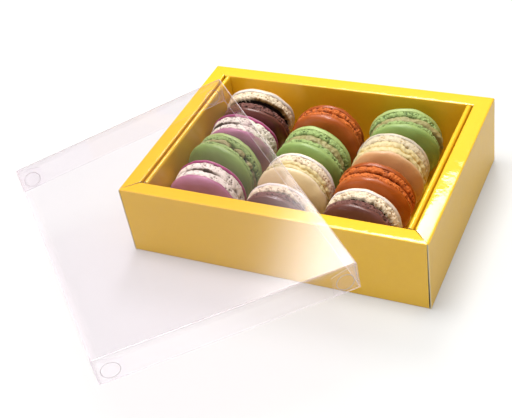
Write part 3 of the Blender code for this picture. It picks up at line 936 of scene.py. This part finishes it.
# For each macaron: how far in mm its back and front foot reach over the filling and how craggy
# they are, how far in mm the filling's side stands out, its ridges, and spots on its side as
# (angle from the macaron's right in degrees, place from front to back, mm out, size in mm). A foot
# that reaches less than nothing is buried, and a spot pushed far in is a hole painted dark as shade
MACARON_LOOKS = {
    "left_1": ((2.5, 1.9), (0.75, 1.0), -3.2, 1, ()),
    "left_2": ((1.9, 1.5), (0.6, 0.4), -4.6, 1, ()),
    "left_3": (
        (0.3, 0.1), (0.8, 0.6), 0.6, 1,
        ((66, 0.5, -3.2, 1.7), (36, 0.5, -3.2, 1.9), (14, 0.5, -3, 1.4))),
    "left_4": ((2.5, 2.0), (0.45, 0.45), -3.6, 1, ()),
    "middle_1": ((0.3, 0.2), (0.9, 0.8), -1.4, 1, ()),
    "middle_2": ((1.2, 1.1), (0.9, 1.1), 0.2, 1, ()),
    "middle_3": ((1.6, -3.2), (0.45, 0.2), 1.15, 2, ()),
    "middle_4": ((1.0, 1.1), (0.8, 1.0), -2.0, 1, ()),
    "right_1": ((1.0, 0.9), (1.0, 1.4), 0.4, 1, ((5, 0.5, 2.4, 13),)),
    "right_2": ((1.5, -3.2), (0.4, 0.2), 1.25, 2, ()),
    "right_3": ((0.8, 0.9), (0.9, 0.8), -2.0, 1, ()),
    "right_4": ((2.0, 1.6), (0.95, 1.1), -2.2, 1, ()),
}

# How far the smooth skin of each kind of shell comes down below its widest line
SKIRT = {
    "cream_shell": 1.1 * MM,
    "cocoa_shell": 1.0 * MM,
    "pink_shell": 0.8 * MM,
    "green_shell": 1.6 * MM,
    "orange_shell": 1.4 * MM,
}

# Where two feet stand apart and show a slit painted dark inside as shade: angle and spread in
# degrees, and mm
SLITS = {"left_1": (45, 34, 0.8), "left_2": (135, 40, 0.9), "left_4": (92, 22, 0.45)}
NO_SLIT = (0, 1, 0)

# Shells drawn in a darker copy of their kind's material: painted shade
SHADED_SHELL_COPIES = {"right_2_back_shell": "pale_shaded_cream_shell", "right_2_front_shell": "dark_shaded_cream_shell"}


def make_macarons(materials):
    """Twelve macarons, each where its solids stand and in the finish that the record gives them;
    two shells take a darker copy of it as painted shade.
    """
    slots = {part["node"]: part["material_slot"] for part in frame["record"]["subparts"]}
    for index, (name, (reach, crags, *side)) in enumerate(MACARON_LOOKS.items()):
        place = macaron_place(name)
        seed = 1000 * index
        for number, end in enumerate(("back", "front")):
            node = f"{name}_{end}_shell"
            slot = slots[node]
            make_shell(
                f"{name}_{end}_baked_shell", node, place, end, materials[SHADED_SHELL_COPIES.get(node, slot)],
                seed + 100 * number, reach[number] * MM, crags[number], SKIRT[slot],
                SLITS.get(name, NO_SLIT))
        node = name + "_filling"
        make_filling(
            name + "_piped_filling", node, place, slots[node], materials[slots[node]], seed + 200,
            [much * MM for much in reach], *side)


def make_floor():
    """A wide sheet of matt white paper that the box stands on. It glows a little, as paper on a lit
    table does, and so stays nearly white while it still takes the box's shadow."""
    corners = np.array([(-1, -1, 0), (1, -1, 0), (1, 1, 0), (-1, 1, 0)])
    points = corners * FLOOR_REACH - (0, 0, FLOOR_DROP)
    mesh = make_mesh("floor", points, [np.array([[0, 1, 2, 3]])])
    material, tree, out = new_material("matt_white_paper")
    place = add(tree, "ShaderNodeTexCoord").outputs["Object"]
    grain = add(tree, "ShaderNodeTexNoise", {"Vector": place, "Scale": 1 / (0.8 * MM), "Detail": 3.0})
    bump = add(tree, "ShaderNodeBump", {"Height": grain.outputs["Fac"], "Distance": 0.02 * MM})
    shader = add(tree, "ShaderNodeBsdfPrincipled", {
        "Base Color": colour("#B8B8B7"), "Roughness": 0.9, "Normal": bump.outputs["Normal"],
        "Emission Color": colour("#FFFFFF"), "Emission Strength": FLOOR_GLOW})
    tree.links.new(shader.outputs[0], out.inputs["Surface"])
    mesh.materials.append(material)
    floor = new_object("floor", mesh)


def direction(azimuth, elevation):
    """The unit vector towards a compass angle from +Y, positive towards +X, and a height angle."""
    a, e = radians(azimuth), radians(elevation)
    return Vector((sin(a) * cos(e), cos(a) * cos(e), sin(e)))


def softbox(name, azimuth, elevation, distance, width, height, power):
    """A softbox aimed at the box from a compass angle and a height angle. Its cloth is brightest in
    the middle: towards each edge the light fades as a smooth step of the distance from that edge."""
    lamp = bpy.data.lights.new(name, "AREA")
    lamp.shape = "RECTANGLE"
    lamp.size, lamp.size_y = width, height
    lamp.energy = power
    lamp.use_nodes = True
    tree = lamp.node_tree
    place = add(tree, "ShaderNodeSeparateXYZ", {
        0: add(tree, "ShaderNodeNewGeometry").outputs["Parametric"]})
    sides = []
    for side in ("X", "Y"):
        inward = add(tree, "ShaderNodeMath", {0: place.outputs[side], 1: 0.5}, operation="SUBTRACT")
        inward = add(tree, "ShaderNodeMath", {0: inward.outputs[0]}, operation="ABSOLUTE")
        sides.append(add(tree, "ShaderNodeMapRange", {
            0: inward.outputs[0], 1: 0.5, 2: 0.5 - SOFTBOX_FADE[side], 3: 0.0, 4: 1.0},
            interpolation_type="SMOOTHSTEP"))
    both = add(tree, "ShaderNodeMath", {
        0: sides[0].outputs[0], 1: sides[1].outputs[0]}, operation="MULTIPLY")
    tree.links.new(both.outputs[0], tree.nodes["Emission"].inputs["Strength"])
    item = new_object(name, lamp)
    way = direction(azimuth, elevation)
    item.location = way * distance
    item.rotation_euler = way.to_track_quat("Z", "Y").to_euler()


def make_light():
    """A white tent, brighter towards its top as a power of the sine of the height angle and near
    the floor as a power of one less that sine, a softbox behind and above that the rims and the lid
    mirror, one over the box and a small one low at the left."""
    world = bpy.data.worlds.new("white_tent")
    bpy.context.scene.world = world
    world.use_nodes = True
    tree = world.node_tree
    up = add(tree, "ShaderNodeSeparateXYZ", {0: add(tree, "ShaderNodeTexCoord").outputs["Generated"]})
    above = add(tree, "ShaderNodeMath", {0: up.outputs["Z"], 1: 0.0}, operation="MAXIMUM")
    steep = add(tree, "ShaderNodeMath", {0: above.outputs[0], 1: TENT_POWER}, operation="POWER")
    bright = add(tree, "ShaderNodeMath", {
        0: steep.outputs[0], 1: TENT_TOP, 2: TENT_SIDE}, operation="MULTIPLY_ADD")
    below = add(tree, "ShaderNodeMath", {0: 1.0, 1: above.outputs[0]}, operation="SUBTRACT")
    glow = add(tree, "ShaderNodeMath", {0: below.outputs[0], 1: TENT_FOOT_POWER}, operation="POWER")
    bright = add(tree, "ShaderNodeMath", {
        0: glow.outputs[0], 1: TENT_FOOT, 2: bright.outputs[0]}, operation="MULTIPLY_ADD")
    tree.nodes["Background"].inputs["Color"].default_value = TENT_WHITE
    tree.links.new(bright.outputs[0], tree.nodes["Background"].inputs["Strength"])
    for name, setting in SOFTBOXES.items():
        softbox(name, *setting)


def make_camera():
    """A camera at the photograph's angle, rolled about its own line of sight."""
    data = bpy.data.cameras.new("camera")
    data.lens = CAMERA_LENS
    data.sensor_width = SENSOR
    data.clip_start = 0.01
    camera = new_object("camera", data)
    back = direction(CAMERA_AZIMUTH, CAMERA_ELEVATION)
    back.y = -back.y
    across = Vector((0, 0, 1)).cross(back).normalized()
    upright = back.cross(across)
    roll = radians(CAMERA_ROLL)
    right = across * cos(roll) + upright * sin(roll)
    up = upright * cos(roll) - across * sin(roll)
    turn = Matrix((right, up, back)).transposed()
    camera.matrix_world = Matrix.Translation(Vector(CAMERA_TARGET) + back * CAMERA_DISTANCE) @ turn.to_4x4()
    bpy.context.scene.camera = camera


foil, board = foil_card(), board_back()
make_tray(foil, board)
make_liner(foil, board)
make_macarons(make_food_materials())
make_lid(clear_sheet(), cut_sheet())
make_floor()
make_light()
make_camera()
bpy.context.scene.view_settings.view_transform = "Standard"
